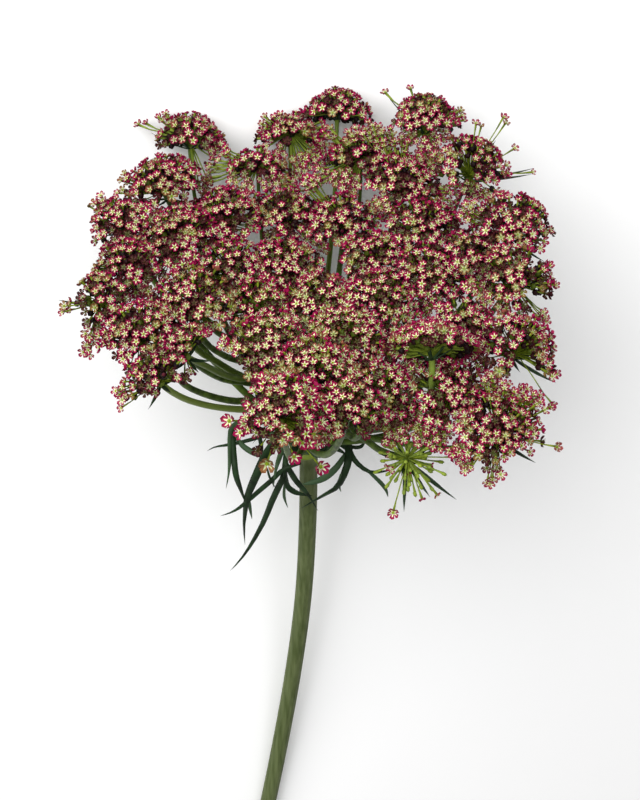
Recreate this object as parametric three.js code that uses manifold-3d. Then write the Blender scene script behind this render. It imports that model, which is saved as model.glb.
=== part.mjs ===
// Bishop's flower: one cut stem with a compound umbel of dark red and cream florets.
// It lies on a table: two rim umbellets and the cut end of the stem touch the surface.
// Millimetres, +Z up, +Y from the cut end towards the flower head.

import * as THREE from 'three';
import { mergeVertices } from 'three/addons/utils/BufferGeometryUtils.js';
import Module from 'manifold-3d';

const wasm = await Module();
wasm.setup();

// How the flower lies
const headTilt = 20;          // degrees, axis of the umbel above the table
const headRoll = -11.5;       // degrees, the head rolls on to two of its rim umbellets
const neckHeight = 26.2;      // the neck above the table
const touchGap = 0.3;         // between neighbouring pieces that meet

// Stem
const stemDiameter = 5;
const stemSides = 12;
const stemSteps = 14;
const stemRoute = [           // from the neck to the cut end, measured from the neck
  [1, 0, 0],
  [0.6, -31, -8],
  [-0.9, -62.5, -14.1],
  [-4.2, -94, -18.3],
  [-8.8, -126, -20.9],
  [-14.2, -158, -22],
];
const receptacleRadius = 4.6;
const receptacleRings = 8;

// Rays, from the receptacle to the umbellets
const rayDiameter = 1.6;
const raySides = 4;
const raySteps = 5;
const rayRootDepth = 1.8;     // where a ray starts, from the middle of the receptacle
const raySpread = 1.6;        // a ray leaves this many times flatter than its tip lies, unless its row says
const rayPull = 0.36;         // share of a ray's span that its two ends keep straight

// The bowl that the ray tips lie in
const innerRise = 57;         // rise of the ray tips in the middle of the umbel
const rimRise = 67;           // rise of the ray tips at the rim
const rimReach = 50;
const rimLean = 16;           // degrees, a rim umbellet leans out
const lightLean = 8;          // degrees, every umbellet leans to the light, away from the table

// One row for each umbellet: clock in degrees (0 right, 90 towards the table's far side),
// reach from the umbel's axis, width across its florets, lift above the bowl, nod towards the
// table in degrees, and the spread of its ray
const umbellets = [
  { clock: 9.5, reach: 50, width: 18.8 },
  { clock: 35, reach: 49, width: 19.5 },
  { clock: 55.8, reach: 52, width: 19 },
  { clock: 81, reach: 48, width: 18 },
  { clock: 95.5, reach: 42, width: 15.4 },
  { clock: 126, reach: 48, width: 16.8 },
  { clock: 143.5, reach: 41.5, width: 18.4 },
  { clock: 164.2, reach: 44.3, width: 15.8 },
  { clock: 182, reach: 41, width: 16 },
  { clock: 195.4, reach: 47.8, width: 14.4, lift: -1 },
  { clock: 211, reach: 43, width: 18.5, lift: -2, spread: 0.8 },
  { clock: 228.5, reach: 47.8, width: 15.4, lift: -2, spread: 0.7 },
  { clock: 264, reach: 46, width: 20.5, lift: -2 },
  { clock: 284, reach: 43, width: 15.5, lift: -3 },
  { clock: 299, reach: 49, width: 18, lift: -21, spread: 1.2 },
  { clock: 297, reach: 38, width: 17, lift: -6 },
  { clock: 314.5, reach: 47, width: 18, lift: -10, spread: 1 },
  { clock: 315.5, reach: 61, width: 18.6, lift: -18, spread: 0.8 },
  { clock: 331, reach: 54.5, width: 17.8, lift: -6 },
  { clock: 333, reach: 41, width: 16, lift: -2 },
  { clock: 350, reach: 48.8, width: 18.8 },
  { clock: 4, reach: 41, width: 14 },
  { clock: 26, reach: 32, width: 16 },
  { clock: 50, reach: 37, width: 16.6 },
  { clock: 72, reach: 35, width: 17.3 },
  { clock: 112, reach: 34, width: 15 },
  { clock: 136, reach: 26, width: 17.5 },
  { clock: 163, reach: 32, width: 18.5 },
  { clock: 202, reach: 27, width: 18.5 },
  { clock: 223, reach: 36.5, width: 13.4, lift: -2, spread: 0.7 },
  { clock: 252, reach: 24, width: 17 },
  { clock: 275, reach: 33, width: 17 },
  { clock: 312, reach: 39, width: 14.5, lift: 7, nod: 30 },
  { clock: 359, reach: 30, width: 15.5 },
  { clock: 62, reach: 21, width: 15.5 },
  { clock: 102, reach: 21, width: 15.5 },
  { clock: 171, reach: 18, width: 16 },
  { clock: 221, reach: 14, width: 14.8 },
  { clock: 296, reach: 23, width: 17 },
  { clock: 335, reach: 20, width: 16.5 },
  { clock: 19, reach: 18, width: 15.5 },
  { clock: 136, reach: 6, width: 16.5 },
  { clock: 296, reach: 9, width: 16 },
];

// Florets of an umbellet, larger than life, in an inner ring of three and an outer ring
const innerFlorets = 3;
const outerFloretWidth = 2.4;    // the outer ring has a floret for each such step of the width
const hubRadius = 1.3;
const hubDepth = 1.7;
const crownRise = 0.8;        // the narrower top of the hub, above its waist
const crownShare = 0.62;      // share of the hub's radius
const peakRise = 1.3;
const pedicelRadius = 0.5;
const innerRing = { share: 0.34, size: 0.29, height: 0.5, tilt: 14 };   // shares of the width
const outerHeight = 0.28;
const outerTilt = 34;
const outerSnug = 1.18;       // 1 where round florets of the outer ring would just touch
const petalNotch = 0.7;       // how far the notch between two petals lies out
const petals = 5;
const petalLift = 0.14;       // shares of a floret's radius: tips of the petals above its rim
const middleLift = 0.2;       // the middle above its rim
const throatDepth = 0.42;     // the top of the pedicel below its rim
const floretWobble = 0.06;    // share of its height that a floret may stand lower
const floretSeed = 11;

// Bracts below the umbel: each swings out from the receptacle and hangs back along the stem
const bractWidth = 1.7;
const bractThickness = 0.9;
const bractSteps = 5;
const bladeTaper = 0.6;       // share of its width that a blade has lost just before its point
const bractSeatAngle = 112;   // degrees from the umbel's axis
const bractRiseAngle = 78;    // degrees from the axis, the way a bract sets out
const lobeWidth = 1.3;
const lobeSteps = 3;
const firstFork = 0.3;        // where the lobes leave, as shares of the rib
const forkStep = 0.2;
const lobeLength = 0.6;       // first lobe, as a share of the bract's hang
const lobeShortening = 0.1;   // each further lobe is shorter by this share
const lobeRootDepth = 0.5;
const lobeBend = { ahead: 0.4, aside: 0.4 };   // shares of a lobe's length
const lobeTip = { ahead: 0.9, aside: 0.5 };
const bracts = [
  { clock: 192, out: 20, hang: 27, swing: 8, lobes: 3 },
  { clock: 222, out: 16, hang: 34, swing: -8, lobes: 3 },
  { clock: 246, out: 10, hang: 24, swing: 24, lobes: 2 },
  { clock: 304, out: 13, hang: 21, swing: -40, lobes: 2 },
  { clock: 326, out: 17, hang: 19, swing: 6, lobes: 3 },
  { clock: 2, out: 16, hang: 17, swing: 8, lobes: 2 },
  { clock: 52, out: 13, hang: 20, swing: 10, lobes: 2 },
  { clock: 128, out: 13, hang: 20, swing: -10, lobes: 2 },
];

const tableSize = 600;
const tableDepth = 40;

const radians = THREE.MathUtils.degToRad;

// Solids and meshes

function solidOf(geometry) {
  const bare = geometry.clone();
  for (const name of Object.keys(bare.attributes)) {
    if (name !== 'position') {
      bare.deleteAttribute(name);
    }
  }
  const merged = mergeVertices(bare, 1e-4);
  return new wasm.Manifold(new wasm.Mesh({
    numProp: 3,
    vertProperties: new Float32Array(merged.attributes.position.array),
    triVerts: new Uint32Array(merged.index.array),
  }));
}

function geometryOf(solid) {
  const mesh = solid.getMesh();
  const geometry = new THREE.BufferGeometry();
  geometry.setAttribute('position', new THREE.BufferAttribute(mesh.vertProperties, 3));
  geometry.setIndex(new THREE.BufferAttribute(mesh.triVerts, 1));
  geometry.computeVertexNormals();
  return geometry;
}

function fuse(geometries) {
  return geometryOf(geometries.map(solidOf).reduce((whole, piece) => whole.add(piece)));
}

function tube(curve, section, steps) {
  return new THREE.ExtrudeGeometry(section, { steps, bevelEnabled: false, extrudePath: curve });
}

function roundSection(diameter, sides) {
  const points = [];
  for (let i = 0; i < sides; i += 1) {
    const turn = (2 * Math.PI * i) / sides;
    points.push(new THREE.Vector2(Math.cos(turn), Math.sin(turn)).multiplyScalar(diameter / 2));
  }
  return new THREE.Shape(points);
}

// Directions in the umbel: its axis is local +Z

function outward(clock, angleFromAxis) {
  const flat = Math.sin(radians(angleFromAxis));
  return new THREE.Vector3(
    flat * Math.cos(radians(clock)),
    flat * Math.sin(radians(clock)),
    Math.cos(radians(angleFromAxis)),
  );
}

function rayTip({ clock, reach, lift = 0 }) {
  const rise = innerRise + (rimRise - innerRise) * (reach / rimReach) ** 2 + lift;
  return outward(clock, 90).multiplyScalar(reach).add(new THREE.Vector3(0, 0, rise));
}

function leanOf({ clock, reach, nod = 0 }) {
  return outward(clock, (rimLean * reach) / rimReach)
    .addScaledVector(outward(270, 90), Math.sin(radians(lightLean - nod)))
    .normalize();
}

// Stem with its rays

function rayCurve(row) {
  const end = rayTip(row);
  const straightAngle = THREE.MathUtils.radToDeg(Math.atan2(row.reach, end.z));
  const start = outward(row.clock, straightAngle * (row.spread ?? raySpread));
  const root = start.clone().multiplyScalar(rayRootDepth);
  const pull = end.distanceTo(root) * rayPull;
  return new THREE.CubicBezierCurve3(
    root,
    root.clone().addScaledVector(start, pull),
    end.clone().addScaledVector(leanOf(row), -pull),
    end,
  );
}

function stemAndRays(headTurn) {
  const route = stemRoute.map(([x, y, z]) => new THREE.Vector3(x, y, z));
  const stem = tube(new THREE.CatmullRomCurve3(route), roundSection(stemDiameter, stemSides), stemSteps);
  const receptacle = new THREE.SphereGeometry(receptacleRadius, stemSides, receptacleRings);
  const section = roundSection(rayDiameter, raySides);
  const rays = umbellets.map((row) => tube(rayCurve(row), section, raySteps).applyMatrix4(headTurn));
  return fuse([stem, receptacle, ...rays]);
}

// A closed mesh that is built ring by ring; each ring runs anticlockwise seen from outside

function ringMesh() {
  const points = [];
  const faces = [];
  const addRing = (places, turns) => places.map((place, i) => {
    points.push(place);
    return { index: points.length - 1, turn: turns[i] };
  });
  const stitch = (lower, upper) => {
    const made = [];
    const at = (ring, i) => ring[i % ring.length].index;
    const turnOf = (ring, i) => ring[i % ring.length].turn + 2 * Math.PI * Math.floor(i / ring.length);
    let i = 0;
    let j = 0;
    while (i < lower.length || (j < upper.length && upper.length > 1)) {
      const stepLower = Math.abs(turnOf(lower, i + 1) - turnOf(upper, j));
      const stepUpper = Math.abs(turnOf(upper, j + 1) - turnOf(lower, i));
      const lowerNext = i < lower.length && (j >= upper.length || stepLower <= stepUpper);
      if (upper.length === 1 || lowerNext) {
        made.push([at(lower, i), at(lower, i + 1), at(upper, j)]);
        i += 1;
      } else {
        made.push([at(lower, i), at(upper, j + 1), at(upper, j)]);
        j += 1;
      }
    }
    return made;
  };
  return { points, faces, addRing, stitch };
}

function meshGeometry({ points, faces }) {
  const geometry = new THREE.BufferGeometry().setFromPoints(points);
  geometry.setIndex(faces.flat());
  geometry.computeVertexNormals();
  return geometry;
}

function ringPlaces(middle, across, along, radius, turns) {
  return turns.map((turn) => middle.clone()
    .addScaledVector(across, radius * Math.cos(turn))
    .addScaledVector(along, radius * Math.sin(turn)));
}

function evenTurns(count, first = 0) {
  return Array.from({ length: count }, (_, i) => first + (2 * Math.PI * i) / count);
}

// Turns a ring's list so that it starts at the point nearest to the other ring's first point
function startNear(ring, firstTurn) {
  const circle = 2 * Math.PI;
  const eased = ring.map(({ index, turn }) => {
    const lag = (((turn - firstTurn + Math.PI) % circle) + circle) % circle - Math.PI;
    return { index, turn: firstTurn + lag };
  });
  eased.sort((a, b) => a.turn - b.turn);
  const nearest = eased.reduce((best, { turn }, i) => (
    Math.abs(turn - firstTurn) < Math.abs(eased[best].turn - firstTurn) ? i : best), 0);
  return eased.map((_, k) => {
    const i = nearest + k;
    const { index, turn } = eased[i % eased.length];
    return { index, turn: turn + circle * Math.floor(i / eased.length) };
  });
}

function middleOf(mesh, face) {
  const sum = face.reduce((total, index) => total.add(mesh.points[index]), new THREE.Vector3());
  return sum.divideScalar(face.length);
}

// A pedicel pulled out of one face of the hub, with its floret: five petals round a raised middle
function addFloret(mesh, face, place, facing, radius) {
  const across = new THREE.Vector3(place.x, place.y, 0);
  across.addScaledVector(facing, -across.dot(facing)).normalize();
  const along = facing.clone().cross(across);
  const base = middleOf(mesh, face);
  const turnOf = (index) => {
    const arm = mesh.points[index].clone().sub(base);
    return Math.atan2(arm.dot(along), arm.dot(across));
  };
  const root = face.map((index) => ({ index, turn: turnOf(index) }));
  root.sort((a, b) => a.turn - b.turn);

  const turns = root.map(({ turn }) => turn);
  const throat = place.clone().addScaledVector(facing, -radius * throatDepth);
  const top = mesh.addRing(ringPlaces(throat, across, along, pedicelRadius, turns), turns);
  mesh.faces.push(...mesh.stitch(root, top));

  const rimTurns = evenTurns(petals * 2);
  const rimPlaces = ringPlaces(place, across, along, radius, rimTurns).map((point, i) => (
    i % 2 === 0 ? point.addScaledVector(facing, radius * petalLift) : point.lerp(place, 1 - petalNotch)));
  const rim = mesh.addRing(rimPlaces, rimTurns);
  mesh.faces.push(...mesh.stitch(startNear(top, rimTurns[0]), rim));

  const middle = mesh.addRing([place.clone().addScaledVector(facing, radius * middleLift)], [0]);
  mesh.faces.push(...mesh.stitch(rim, middle));
}

// An outer ring of florets side by side, whose petals end at the umbellet's width
function outerRingOf(count) {
  const crowding = outerSnug * Math.sin(Math.PI / count);
  const share = 1 / (1 + crowding * Math.cos(radians(outerTilt)));
  return { share, size: crowding * share, height: outerHeight, tilt: outerTilt };
}

function umbelletGeometry({ width }, draw) {
  const outerFlorets = Math.round(width / outerFloretWidth);
  const mesh = ringMesh();
  const across = new THREE.Vector3(1, 0, 0);
  const along = new THREE.Vector3(0, 1, 0);
  const level = (z) => new THREE.Vector3(0, 0, z);
  const waistTurns = evenTurns(outerFlorets - innerFlorets, Math.PI / (outerFlorets - innerFlorets));
  const crownTurns = evenTurns(innerFlorets);

  const foot = mesh.addRing([level(0)], [0]);
  const waist = mesh.addRing(
    ringPlaces(level(hubDepth), across, along, hubRadius, waistTurns), waistTurns);
  const crown = mesh.addRing(
    ringPlaces(level(hubDepth + crownRise), across, along, hubRadius * crownShare, crownTurns), crownTurns);
  const peak = mesh.addRing([level(hubDepth + peakRise)], [0]);
  mesh.faces.push(...mesh.stitch(waist, foot).map(([a, b, c]) => [b, a, c]));

  const grow = (faces, ring) => {
    const nearest = middleOf(mesh, faces[0]);
    const first = Math.atan2(nearest.y, nearest.x);
    faces.forEach((face, k) => {
      const turn = first + (2 * Math.PI * k) / faces.length;
      const facing = new THREE.Vector3(0, 0, 1)
        .applyAxisAngle(new THREE.Vector3(-Math.sin(turn), Math.cos(turn), 0), radians(ring.tilt));
      const wobble = 1 - floretWobble * draw();
      const place = new THREE.Vector3(Math.cos(turn), Math.sin(turn), 0)
        .multiplyScalar((width / 2) * ring.share)
        .setZ(hubDepth + width * ring.height * wobble);
      addFloret(mesh, face, place, facing, (width / 2) * ring.size);
    });
  };
  grow(mesh.stitch(waist, crown), outerRingOf(outerFlorets));
  grow(mesh.stitch(crown, peak), innerRing);

  return meshGeometry(mesh);
}

// Bracts: a rib with narrow lobes, each a keeled blade that runs out to a point

function bladeGeometry(curve, width, sideways, steps) {
  const mesh = ringMesh();
  const edgesAndKeel = [0, Math.PI, 1.5 * Math.PI];
  let root;
  let last;
  for (let i = 0; i < steps; i += 1) {
    const middle = curve.getPoint(i / steps);
    const facing = curve.getTangent(i / steps);
    const across = sideways.clone().addScaledVector(facing, -sideways.dot(facing)).normalize();
    const along = facing.clone().cross(across);
    const halfWidth = (width / 2) * (1 - bladeTaper * (i / steps) ** 2);
    const ring = mesh.addRing(edgesAndKeel.map((turn) => middle.clone()
      .addScaledVector(across, halfWidth * Math.cos(turn))
      .addScaledVector(along, bractThickness * Math.sin(turn))), edgesAndKeel);
    if (i === 0) {
      root = ring;
    } else {
      mesh.faces.push(...mesh.stitch(last, ring));
    }
    last = ring;
  }
  const tip = mesh.addRing([curve.getPoint(1)], [0]);
  mesh.faces.push(...mesh.stitch(last, tip));
  mesh.faces.push([root[0].index, root[2].index, root[1].index]);
  return meshGeometry(mesh);
}

function bractGeometry({ clock, out, hang, swing, lobes }) {
  const seat = outward(clock, bractSeatAngle);
  seat.multiplyScalar(receptacleRadius + touchGap);
  const sideways = outward(clock + 90, 90);
  const rib = new THREE.QuadraticBezierCurve3(
    seat,
    seat.clone().addScaledVector(outward(clock, bractRiseAngle), out),
    seat.clone().addScaledVector(outward(clock + swing, 90), out).setZ(seat.z - hang),
  );
  const blades = [bladeGeometry(rib, bractWidth, sideways, bractSteps)];
  for (let i = 0; i < lobes; i += 1) {
    const side = i % 2 === 0 ? 1 : -1;
    const fork = rib.getPoint(firstFork + forkStep * i);
    const ahead = rib.getTangent(firstFork + forkStep * i);
    const length = hang * (lobeLength - lobeShortening * i);
    const along = (share) => fork.clone()
      .addScaledVector(ahead, length * share.ahead)
      .addScaledVector(sideways, side * length * share.aside);
    const lobe = new THREE.QuadraticBezierCurve3(
      fork.clone().addScaledVector(ahead, -lobeRootDepth),
      along(lobeBend),
      along(lobeTip),
    );
    blades.push(bladeGeometry(lobe, lobeWidth, sideways, lobeSteps));
  }
  return fuse(blades);
}

// Assembly

function material(color, roughness) {
  return new THREE.MeshStandardMaterial({ color, roughness, metalness: 0 });
}

const stemGreen = material(0x55613c, 0.7);
const bractGreen = material(0x33452c, 0.75);
const floretRed = material(0x7d3a44, 0.8);

function seeded(seed) {
  let state = seed;
  return () => {
    state = (state * 16807) % 2147483647;
    return state / 2147483647;
  };
}

function named(name, geometry, finish) {
  const mesh = new THREE.Mesh(geometry, finish);
  mesh.name = name;
  return mesh;
}

function twoDigits(number) {
  return String(number).padStart(2, '0');
}

// The umbel's own frame: +Z its axis, +Y towards the table
const umbel = new THREE.Group();
umbel.rotation.x = -radians(90 - headTilt);
umbel.updateMatrix();

const draw = seeded(floretSeed);
umbellets.forEach((row, i) => {
  const lean = leanOf(row);
  const mesh = named(`umbellet_${twoDigits(i + 1)}`, umbelletGeometry(row, draw), floretRed);
  mesh.position.copy(rayTip(row)).addScaledVector(lean, touchGap);
  mesh.quaternion.setFromUnitVectors(new THREE.Vector3(0, 0, 1), lean);
  mesh.rotateZ(2 * Math.PI * draw());
  umbel.add(mesh);
});

bracts.forEach((row, i) => {
  umbel.add(named(`bract_${twoDigits(i + 1)}`, bractGeometry(row), bractGreen));
});

const flower = new THREE.Group();
flower.rotation.y = radians(headRoll);
flower.position.z = neckHeight;
flower.add(umbel);
flower.add(named('stem_with_rays', stemAndRays(umbel.matrix), stemGreen));

const group = new THREE.Group();
group.add(flower);

// What would press into the table lies flat on it
function flattenAtTable(mesh) {
  const box = new THREE.Box3().setFromObject(mesh, true);
  if (box.min.z >= 0) {
    return;
  }
  const table = new THREE.BoxGeometry(tableSize, tableSize, tableDepth);
  table.translate(0, 0, -tableDepth / 2);
  table.applyMatrix4(mesh.matrixWorld.clone().invert());
  mesh.geometry = geometryOf(solidOf(mesh.geometry).subtract(solidOf(table)));
}

group.updateMatrixWorld(true);
group.traverse((object) => {
  if (object.isMesh) {
    flattenAtTable(object);
  }
});

// The origin is the middle of the flower's footprint on the table
const middle = new THREE.Box3().setFromObject(group, true).getCenter(new THREE.Vector3());
group.position.set(-middle.x, -middle.y, 0);

export default group;
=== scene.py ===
import random
from math import acos, atan2, copysign, cos, degrees, hypot, pi, radians, sin, sqrt

import bmesh
import bpy
from mathutils import Matrix, Vector


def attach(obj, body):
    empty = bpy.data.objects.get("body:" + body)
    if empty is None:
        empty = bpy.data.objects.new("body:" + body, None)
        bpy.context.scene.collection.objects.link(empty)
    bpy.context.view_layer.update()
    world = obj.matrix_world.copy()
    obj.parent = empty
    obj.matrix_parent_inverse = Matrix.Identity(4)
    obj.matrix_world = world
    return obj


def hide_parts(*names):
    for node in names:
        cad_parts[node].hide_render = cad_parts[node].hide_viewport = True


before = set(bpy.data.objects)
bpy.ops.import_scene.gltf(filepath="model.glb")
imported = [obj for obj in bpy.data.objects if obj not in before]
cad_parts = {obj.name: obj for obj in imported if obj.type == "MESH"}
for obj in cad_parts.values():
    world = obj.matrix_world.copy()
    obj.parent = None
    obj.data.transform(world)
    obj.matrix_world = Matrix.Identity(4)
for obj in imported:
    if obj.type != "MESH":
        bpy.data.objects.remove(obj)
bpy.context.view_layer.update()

mm = 0.001
goldenTurn = pi * (3 - sqrt(5))
uneven = (0.9, 1.1)    # how sizes vary

# the head's own frame: Z is the umbel's axis, Y points at the table
head = {
    "neck": (2.379, 33.721, 26.2),  # mm, middle of the receptacle
    "tilt": 20,                     # degrees, the axis above the table
    "roll": -11.5,                  # degrees, about the length of the flower
}
neck = Vector(head["neck"]) * mm
flowerFrame = Matrix.Translation(neck) @ Matrix.Rotation(radians(head["roll"]), 4, "Y")
headFrame = flowerFrame @ Matrix.Rotation(radians(head["tilt"] - 90), 4, "X")
headTurn = headFrame.to_3x3()

# the camera looks down on the flower from the front of the head
view = {
    "focal": 79.3,    # mm
    "sensor": 36,
    "distance": 470,  # mm, from the neck
    "lookDown": 50,   # degrees from the front of the head to the camera
    "right": 4,       # mm that the picture's middle lies right of the neck
    "up": 10.66,      # and above it
    "width": 640,     # pixels
    "height": 800,
    "nearest": 0.01,  # m
}
lookDown = radians(view["lookDown"])
toCamera = headTurn @ Vector((0, -cos(lookDown), sin(lookDown)))
viewUp = headTurn @ Vector((0, sin(lookDown), cos(lookDown)))
viewRight = headTurn @ Vector((1, 0, 0))
cameraPlace = neck + (toCamera * view["distance"] + viewRight * view["right"] + viewUp * view["up"]) * mm
pixel = view["sensor"] / view["height"] / view["focal"]


def addObject(name, data):
    made = bpy.data.objects.new(name, data)
    bpy.context.scene.collection.objects.link(made)
    return made


def addCamera():
    data = bpy.data.cameras.new("camera")
    data.lens = view["focal"]
    data.sensor_width = view["sensor"]
    data.clip_start = view["nearest"]
    camera = addObject("camera", data)
    turn = Matrix((viewRight, viewUp, toCamera)).transposed()
    camera.matrix_world = Matrix.Translation(cameraPlace) @ turn.to_4x4()
    bpy.context.scene.camera = camera


def pointInView(x, y, level, nearer=0):
    # a place in the picture as a point, as far from the camera as level is or some mm nearer
    reach = (cameraPlace - level).dot(toCamera) - nearer * mm
    across = (x - view["width"] / 2) * pixel
    above = (view["height"] / 2 - y) * pixel
    return cameraPlace + (viewRight * across + viewUp * above - toCamera) * reach


def placeInView(point):
    away = point - cameraPlace
    reach = -away.dot(toCamera) * pixel
    return view["width"] / 2 + away.dot(viewRight) / reach, view["height"] / 2 - away.dot(viewUp) / reach


addCamera()
print("camera done")


# shapes

def lerp(start, end, share):
    return start + (end - start) * share


def leaning(turn, tilt):
    # a direction that leans from Z by tilt, towards turn, in radians
    return Vector((sin(tilt) * cos(turn), sin(tilt) * sin(turn), cos(tilt)))


def outward(clock, angle):
    # a direction in the head, clock degrees round the umbel's axis and angle degrees from it
    return headTurn @ leaning(radians(clock), radians(angle))


def bezier(points):
    # a curve from its first to its last point: the place for a share of the way
    def place(share):
        rest = list(points)
        while len(rest) > 1:
            rest = [rest[i].lerp(rest[i + 1], share) for i in range(len(rest) - 1)]
        return rest[0]
    return place


def smoothRoute(points):
    # a curve that passes through all the points
    def place(share):
        along = min(max(share, 0), 0.99999) * (len(points) - 1)    # a point always follows
        i = int(along)
        before, start, end = points[max(i - 1, 0)], points[i], points[i + 1]
        after = points[min(i + 2, len(points) - 1)]
        part = along - i
        curve = (2 * before - 5 * start + 4 * end - after) * part
        curve = curve + (3 * start - before - 3 * end + after) * part * part
        return 0.5 * (2 * start + (end - before) * part + curve * part)
    return place


def aheadOn(route, share, step=0.01):
    return (route(min(share + step, 1)) - route(max(share - step, 0))).normalized()


def meshFrom(bm, name):
    mesh = bpy.data.meshes.new(name)
    bm.to_mesh(mesh)
    bm.free()
    return mesh


def addCone(bm, sides, bottom, top, height):
    ends = {"radius1": bottom, "radius2": top}
    return bmesh.ops.create_cone(bm, cap_ends=True, segments=sides, depth=height, **ends)["verts"]


def addBall(bm, sides, rows, radius=1):
    return bmesh.ops.create_uvsphere(bm, u_segments=sides, v_segments=rows, radius=radius)["verts"]


def straightTube(sides, steps):
    # a closed tube of radius 1 from z 0 to z 1, to be laid along a route
    bm = bmesh.new()
    addCone(bm, sides, 1, 1, 1)
    bmesh.ops.translate(bm, verts=bm.verts, vec=(0, 0, 0.5))
    lengthwise = [edge for edge in bm.edges if abs(edge.verts[0].co.z - edge.verts[1].co.z) > 0.5]
    bmesh.ops.subdivide_edges(bm, edges=lengthwise, cuts=steps - 1)
    return meshFrom(bm, "tube")


def layerOf(bm, name):
    layers = bm.verts.layers.float
    return layers.get(name) or layers.new(name)


def addCopy(bm, mesh):
    # adds a mesh and returns its vertices
    before = len(bm.verts)
    bm.from_mesh(mesh)
    bm.verts.ensure_lookup_table()
    return bm.verts[before:]


def layTube(bm, tube, route, radius, side, flat=1, tone=0):
    # bends a tube along a route, with radius giving m for a share of the way
    toneLayer = layerOf(bm, "tone")
    for vertex in addCopy(bm, tube):
        share = vertex.co.z
        ahead = aheadOn(route, share)
        across = (side - ahead * side.dot(ahead)).normalized()
        raised = ahead.cross(across)
        width = radius(share)
        vertex.co = route(share) + across * vertex.co.x * width + raised * vertex.co.y * width * flat
        vertex[toneLayer] = tone


def newPiece(*layers):
    bm = bmesh.new()
    for layer in layers:
        layerOf(bm, layer)
    return bm


tableGap = 0.05    # mm, so that nothing sinks into the table


def finishPiece(bm, name, material, replaced=(), smooth=True):
    for vertex in bm.verts:
        vertex.co.z = max(vertex.co.z, tableGap * mm)
    mesh = meshFrom(bm, name)
    for polygon in mesh.polygons:
        polygon.use_smooth = smooth
    mesh.materials.append(material)
    piece = addObject(name, mesh)
    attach(piece, "root")
    if replaced:
        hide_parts(*replaced)


# materials

def colour(red, green, blue):
    # a screen colour as Blender's linear one
    def straight(part):
        part = part / 255
        return part / 12.92 if part <= 0.04045 else ((part + 0.055) / 1.055) ** 2.4
    return (straight(red), straight(green), straight(blue), 1)


def grey(level):
    return (level, level, level, 1)


# what all the skins share
skinLook = {
    "roughness": 0.5,
    # light that passes under the skin: its strength, and m for red, green and blue
    "soft": 0.05,
    "softReach": (0.001, 0.0006, 0.0004),
    "shine": 0.15,
    "bump": 0.06,           # mm
    "bumpStrength": 0.4,
    "bumpFiner": 4,         # times finer than the mottle
    "detail": 3,            # of the mottle, and of the bump
    "bumpDetail": 2,
    "mottle": (0.3, 0.72),  # end of the dark parts, start of the light ones
}


def setInputs(node, values):
    for name, value in values.items():
        node.inputs[name].default_value = value


def startMaterial(name, roughness):
    material = bpy.data.materials.new(name)
    material.use_nodes = True
    nodes = material.node_tree.nodes
    shader = nodes["Principled BSDF"]
    setInputs(shader, {"Roughness": roughness, "Specular IOR Level": skinLook["shine"],
                       "Subsurface Weight": skinLook["soft"], "Subsurface Radius": skinLook["softReach"]})
    return material, nodes, material.node_tree.links, shader


def ramp(nodes, links, factor, stops):
    node = nodes.new("ShaderNodeValToRGB")
    elements = node.color_ramp.elements
    while len(elements) < len(stops):
        elements.new(0.5)
    for element, (place, shade) in zip(elements, stops):
        element.position = place
        element.color = shade
    links.new(factor, node.inputs["Fac"])
    return node.outputs["Color"]


def noise(nodes, links, scale, detail, stretch=(1, 1, 1)):
    coordinates = nodes.new("ShaderNodeTexCoord")
    mapping = nodes.new("ShaderNodeMapping")
    setInputs(mapping, {"Scale": stretch})
    texture = nodes.new("ShaderNodeTexNoise")
    setInputs(texture, {"Scale": scale, "Detail": detail})
    links.new(coordinates.outputs["Object"], mapping.inputs["Vector"])
    links.new(mapping.outputs["Vector"], texture.inputs["Vector"])
    return texture.outputs["Fac"]


def attribute(nodes, name):
    node = nodes.new("ShaderNodeAttribute")
    node.attribute_name = name
    return node.outputs["Fac"]


def blendColours(nodes, links, kind, factor, first, second):
    node = nodes.new("ShaderNodeMix")
    node.data_type = "RGBA"
    node.blend_type = kind
    for name, value in (("Factor", factor), ("A", first), ("B", second)):
        socket = next(entry for entry in node.inputs if entry.name == name and entry.enabled)
        if hasattr(value, "links"):
            links.new(value, socket)
        else:
            socket.default_value = value
    return next(entry for entry in node.outputs if entry.enabled)


def addBump(nodes, links, shader, height):
    bump = nodes.new("ShaderNodeBump")
    setInputs(bump, {"Strength": skinLook["bumpStrength"], "Distance": skinLook["bump"] * mm})
    links.new(height, bump.inputs["Height"])
    links.new(bump.outputs["Normal"], shader.inputs["Normal"])


petalLook = {
    "eye": colour(136, 156, 26),    # green middle of a floret
    "heart": colour(186, 210, 70),
    "star": colour(228, 234, 186),  # cream middle of a petal
    "blush": colour(152, 42, 82),
    "magenta": colour(145, 0, 66),
    "wine": colour(66, 0, 26),      # rim and back of a petal
    # colours from the eye of a floret to its rim, by the attribute rim
    "bands": [(0, "eye"), (0.11, "heart"), (0.22, "star"), (0.32, "star"), (0.38, "blush"),
              (0.44, "magenta"), (0.72, "magenta"), (1, "wine")],
    # by the attribute tone: a high one darkens a floret with painted shade colours, as painted shade
    # below the dome and as age on it; a low one makes a young floret olive
    "ageAndShadeOlive": colour(82, 88, 34),
    "ageAndShadeWine": colour(92, 26, 50),
    "ageAndShadeColours": [(0.8, "ageAndShadeOlive"), (1, "ageAndShadeWine")],
    "ageAndShade": [(0, 0), (0.55, 0), (0.8, 0.9), (1, 1)],
    "olive": colour(104, 126, 24),
    "youth": [(0, 0.8), (0.24, 0)],
    "spots": [(0.3, 0.7), (0.7, 1)],
    "spotScale": 900,
    "roughness": 0.6,
}


def petalStops(name):
    # each stop has a colour's name or a level of grey
    return [(place, petalLook.get(shade) or grey(shade)) for place, shade in petalLook[name]]


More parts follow.
